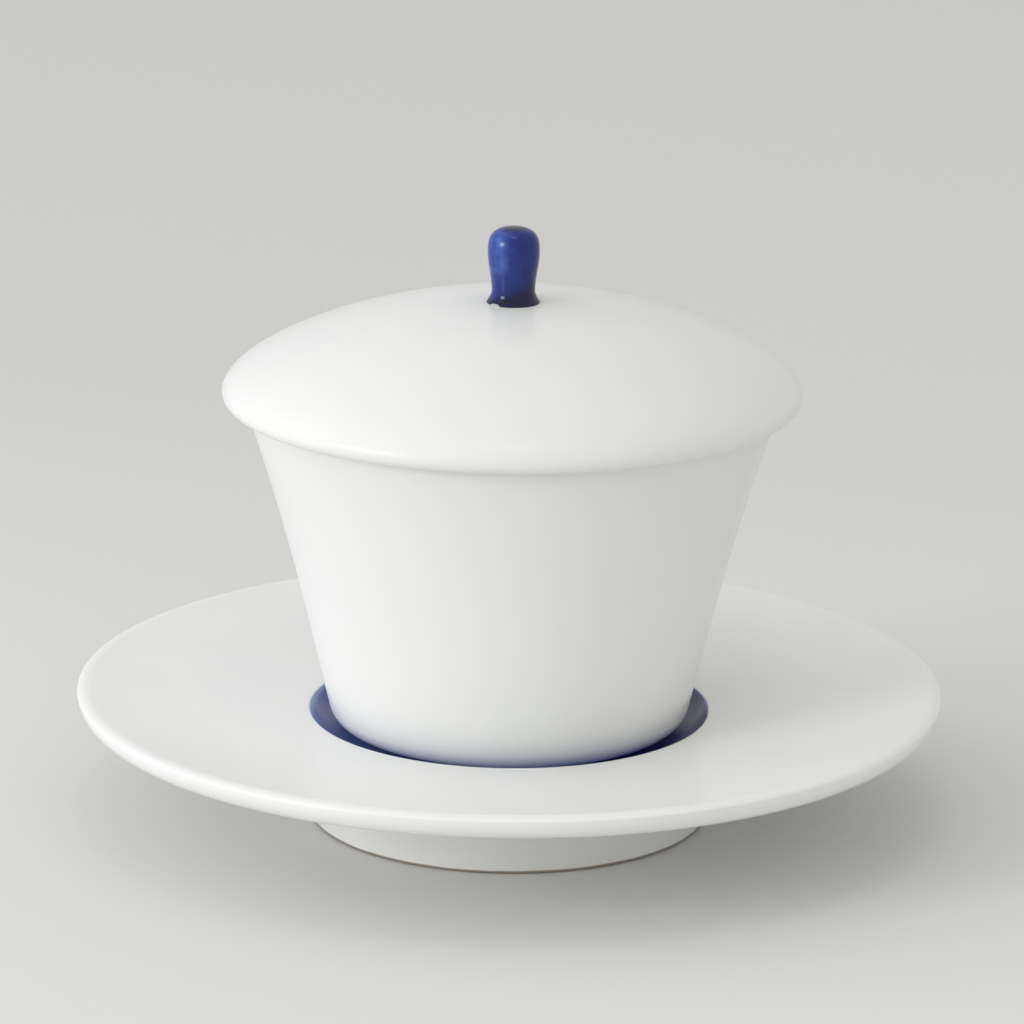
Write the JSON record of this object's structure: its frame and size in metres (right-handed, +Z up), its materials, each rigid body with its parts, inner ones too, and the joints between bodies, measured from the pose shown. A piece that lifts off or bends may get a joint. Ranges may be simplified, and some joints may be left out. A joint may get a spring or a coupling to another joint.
{
  "type": "lidded cup with saucer",
  "caption": "Round porcelain tea cup with a flaring wall and a domed lift-off lid with a small blue knob, standing in the blue-glazed well of a footed saucer.",
  "frame": {"origin": "on the table, at the centre of the saucer's foot ring", "axes": "+Z up along the common axis of saucer, cup, lid and knob; +X and +Y are alike because every piece is round"},
  "size_m": [0.14, 0.14, 0.0977],
  "materials": {
    "porcelain": "white porcelain body under a clear soft-gloss glaze",
    "cobalt_well": "deep cobalt glaze, glossy, paler where it thins at the edge of the well",
    "cobalt_knob": "brushed cobalt glaze, glossy, mottled where it ran thin"
  },
  "bodies": {
    "saucer": {"saucer": "porcelain", "well_glaze": "cobalt_well"},
    "cup": {"cup": "porcelain"},
    "lid": {"lid": "porcelain", "knob": "cobalt_knob"}
  },
  "joints": [
    {"name": "cup_lift", "type": "slide", "parent": "saucer", "child": "cup", "axis": [0, 0, 1], "range_m": [0, 0.06]},
    {"name": "lid_lift", "type": "slide", "parent": "cup", "child": "lid", "axis": [0, 0, 1], "range_m": [0, 0.06]}
  ]
}
